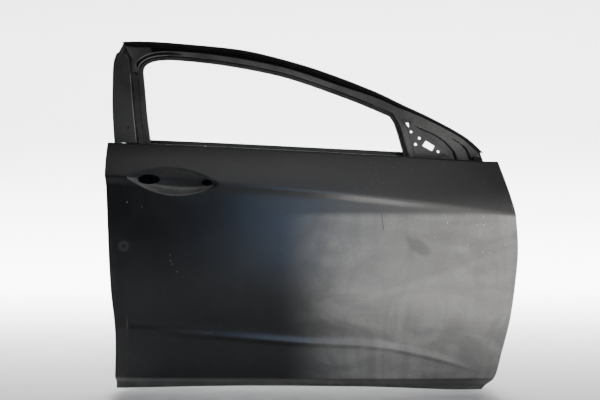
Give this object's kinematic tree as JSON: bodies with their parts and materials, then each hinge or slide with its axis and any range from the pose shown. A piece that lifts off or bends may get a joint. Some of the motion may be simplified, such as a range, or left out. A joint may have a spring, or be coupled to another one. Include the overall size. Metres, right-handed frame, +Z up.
{
  "type": "car door shell",
  "caption": "Bare front side door shell of a car: primed steel skin with a handle recess, window frame, inner panel, impact beam and reinforcements.",
  "frame": {"origin": "middle of the upper hinge pad, on the front shut face of the inner panel", "axes": "+X to the front of the car, +Y to the cabin, +Z up"},
  "size_m": [1.2338, 0.2666, 1.0849],
  "materials": {
    "outer_skin_surface": "satin black electrocoat primer",
    "inner_panel_surface": "satin black electrocoat primer",
    "window_frame_inner_surface": "satin black electrocoat primer",
    "window_frame_outer_surface": "satin black electrocoat primer",
    "header_seal_rail_surface": "satin black electrocoat primer",
    "header_glass_channel_surface": "satin black electrocoat primer",
    "rear_glass_channel_surface": "satin black electrocoat primer",
    "front_glass_channel_surface": "satin black electrocoat primer",
    "rear_pillar_plate_surface": "satin black electrocoat primer",
    "front_belt_bracket_surface": "satin black electrocoat primer",
    "mirror_plate_surface": "thin dark grey electrocoat primer",
    "outer_belt_reinforcement_surface": "thin dark grey electrocoat primer",
    "inner_belt_reinforcement_surface": "thin dark grey electrocoat primer",
    "impact_beam_surface": "thin dark grey electrocoat primer",
    "front_beam_bracket_surface": "thin dark grey electrocoat primer",
    "rear_beam_bracket_surface": "thin dark grey electrocoat primer",
    "upper_hinge_reinforcement_surface": "thin dark grey electrocoat primer",
    "lower_hinge_reinforcement_surface": "thin dark grey electrocoat primer",
    "check_arm_reinforcement_surface": "thin dark grey electrocoat primer",
    "latch_reinforcement_surface": "thin dark grey electrocoat primer",
    "handle_reinforcement_surface": "thin dark grey electrocoat primer",
    "rear_channel_bracket_surface": "thin dark grey electrocoat primer",
    "front_channel_bracket_surface": "thin dark grey electrocoat primer",
    "upper_hinge_tapping_plate_surface": "plain zinc-plated steel",
    "lower_hinge_tapping_plate_surface": "plain zinc-plated steel",
    "mirror_nut_1_surface": "plain zinc-plated steel",
    "mirror_nut_2_surface": "plain zinc-plated steel",
    "mirror_nut_3_surface": "plain zinc-plated steel",
    "beam_mastic_pad_1_surface": "dull soft mastic",
    "beam_mastic_pad_2_surface": "dull soft mastic",
    "beam_mastic_pad_3_surface": "dull soft mastic"
  },
  "bodies": {
    "root": {"outer_skin": "outer_skin_surface", "inner_panel": "inner_panel_surface", "window_frame_inner": "window_frame_inner_surface", "window_frame_outer": "window_frame_outer_surface", "header_seal_rail": "header_seal_rail_surface", "header_glass_channel": "header_glass_channel_surface", "rear_glass_channel": "rear_glass_channel_surface", "front_glass_channel": "front_glass_channel_surface", "rear_pillar_plate": "rear_pillar_plate_surface", "front_belt_bracket": "front_belt_bracket_surface", "mirror_plate": "mirror_plate_surface", "outer_belt_reinforcement": "outer_belt_reinforcement_surface", "inner_belt_reinforcement": "inner_belt_reinforcement_surface", "impact_beam": "impact_beam_surface", "front_beam_bracket": "front_beam_bracket_surface", "rear_beam_bracket": "rear_beam_bracket_surface", "upper_hinge_reinforcement": "upper_hinge_reinforcement_surface", "lower_hinge_reinforcement": "lower_hinge_reinforcement_surface", "check_arm_reinforcement": "check_arm_reinforcement_surface", "latch_reinforcement": "latch_reinforcement_surface", "handle_reinforcement": "handle_reinforcement_surface", "rear_channel_bracket": "rear_channel_bracket_surface", "front_channel_bracket": "front_channel_bracket_surface", "upper_hinge_tapping_plate": "upper_hinge_tapping_plate_surface", "lower_hinge_tapping_plate": "lower_hinge_tapping_plate_surface", "mirror_nut_1": "mirror_nut_1_surface", "mirror_nut_2": "mirror_nut_2_surface", "mirror_nut_3": "mirror_nut_3_surface", "beam_mastic_pad_1": "beam_mastic_pad_1_surface", "beam_mastic_pad_2": "beam_mastic_pad_2_surface", "beam_mastic_pad_3": "beam_mastic_pad_3_surface"}
  },
  "joints": []
}
